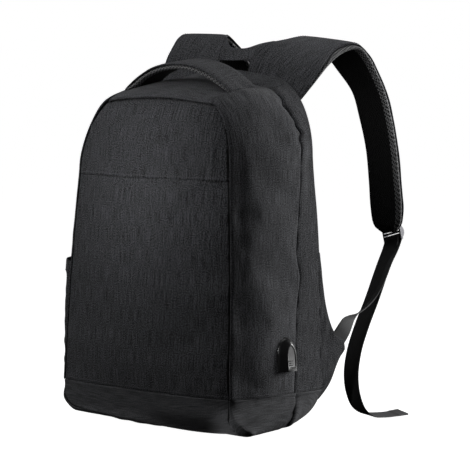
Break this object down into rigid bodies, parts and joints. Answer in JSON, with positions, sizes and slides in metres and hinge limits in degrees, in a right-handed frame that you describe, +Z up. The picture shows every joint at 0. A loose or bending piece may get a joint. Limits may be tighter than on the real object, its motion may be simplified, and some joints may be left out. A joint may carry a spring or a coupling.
{
  "type": "anti-theft backpack",
  "caption": "Lean upright backpack with a rounded top, heather panels over a plain base band, hooded charging port, carry handle, side pocket and padded shoulder straps.",
  "frame": {"origin": "on the floor under the middle of the base", "axes": "+Z up, -Y towards the bag's front, +X towards the side with the charging port"},
  "size_m": [0.3224, 0.3957, 0.4826],
  "materials": {
    "heather_fabric": "dark grey heather weave, matt",
    "accent_fabric": "plain dark grey weave, slightly smoother",
    "air_mesh": "black spacer mesh, matt",
    "webbing": "black ribbed webbing",
    "steel": "satin silver",
    "plastic": "black gloss"
  },
  "bodies": {
    "root": {"front_upper_panel": "heather_fabric", "front_pocket_panel": "heather_fabric", "gusset_right": "heather_fabric", "gusset_top": "heather_fabric", "gusset_left": "heather_fabric", "rear_right": "heather_fabric", "rear_top": "heather_fabric", "rear_left": "heather_fabric", "side_pocket": "heather_fabric", "carry_handle": "heather_fabric", "strap_face_right": "heather_fabric", "strap_face_left": "heather_fabric", "strap_yoke": "heather_fabric", "anchor_wing_right": "heather_fabric", "anchor_wing_left": "heather_fabric", "front_base_band": "accent_fabric", "gusset_base": "accent_fabric", "rear_base": "accent_fabric", "back_panel": "air_mesh", "handle_lining": "air_mesh", "strap_pad_right": "air_mesh", "strap_pad_left": "air_mesh", "webbing_right": "webbing", "webbing_left": "webbing", "adjuster_right": "steel", "adjuster_left": "steel", "usb_port": "plastic"}
  },
  "joints": []
}
